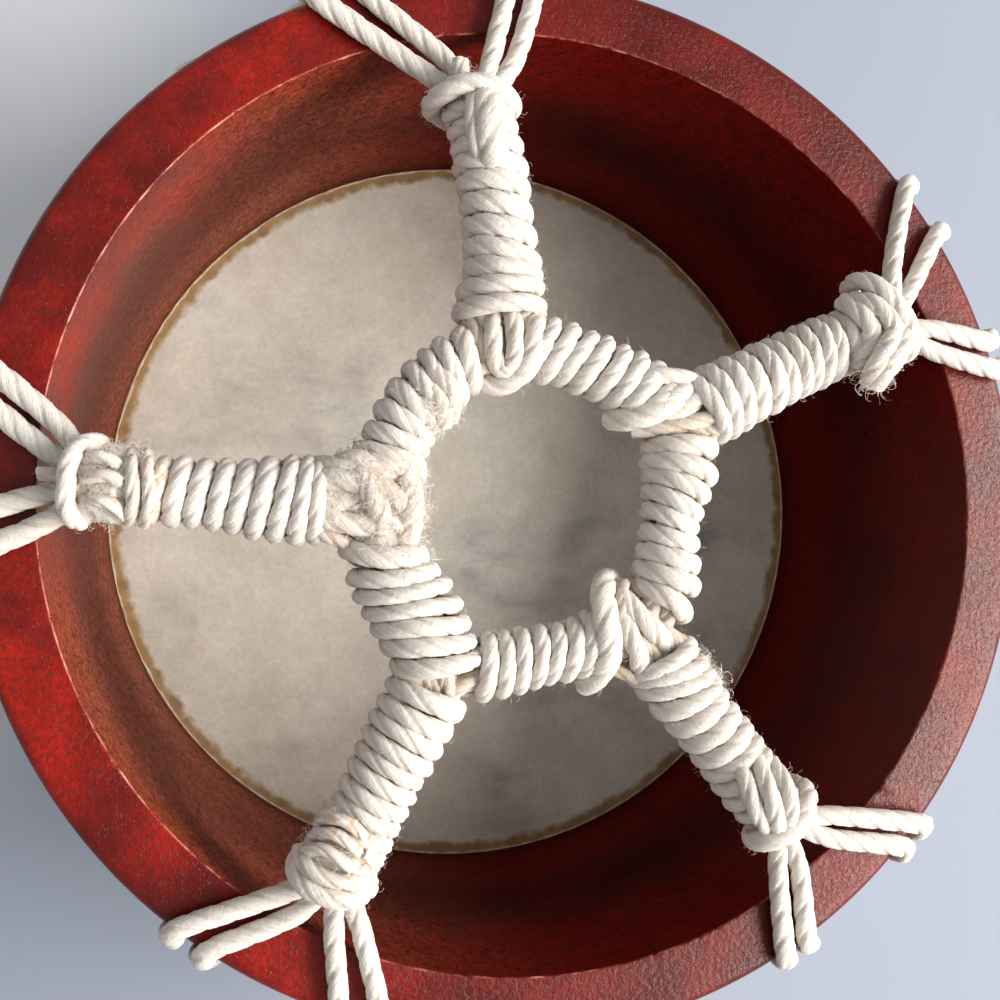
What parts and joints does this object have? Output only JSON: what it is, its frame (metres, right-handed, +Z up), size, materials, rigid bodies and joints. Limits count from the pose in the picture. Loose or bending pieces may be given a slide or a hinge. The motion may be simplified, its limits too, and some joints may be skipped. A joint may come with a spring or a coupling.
{
  "type": "shaman drum",
  "caption": "Small shaman drum: a red-stained wooden hoop, a rawhide head with a laced flap, and a white cord star with a wrapped hand ring across the open back.",
  "frame": {"origin": "centre of the underside of the drumhead, on the surface that the drum lies on", "axes": "+Z up out of the open back, along the hoop's axis; +X towards the right-hand leg side, +Y towards the top leg"},
  "size_m": [0.2174, 0.2174, 0.0917],
  "materials": {
    "red_stained_wood": "satin lacquer over a red stain",
    "rawhide": "matte rawhide",
    "white_cotton_cord": "matte laid cotton cord"
  },
  "bodies": {
    "root": {"hoop": "red_stained_wood", "drumhead": "rawhide", "hand_ring": "white_cotton_cord", "leg_wrap_top": "white_cotton_cord", "leg_wrap_left": "white_cotton_cord", "leg_wrap_lower_left": "white_cotton_cord", "leg_wrap_lower_right": "white_cotton_cord", "leg_wrap_right": "white_cotton_cord", "lacing_01": "white_cotton_cord", "lacing_02": "white_cotton_cord", "lacing_03": "white_cotton_cord", "lacing_04": "white_cotton_cord", "lacing_05": "white_cotton_cord", "lacing_06": "white_cotton_cord", "lacing_07": "white_cotton_cord", "lacing_08": "white_cotton_cord", "lacing_09": "white_cotton_cord", "lacing_10": "white_cotton_cord"}
  },
  "joints": []
}
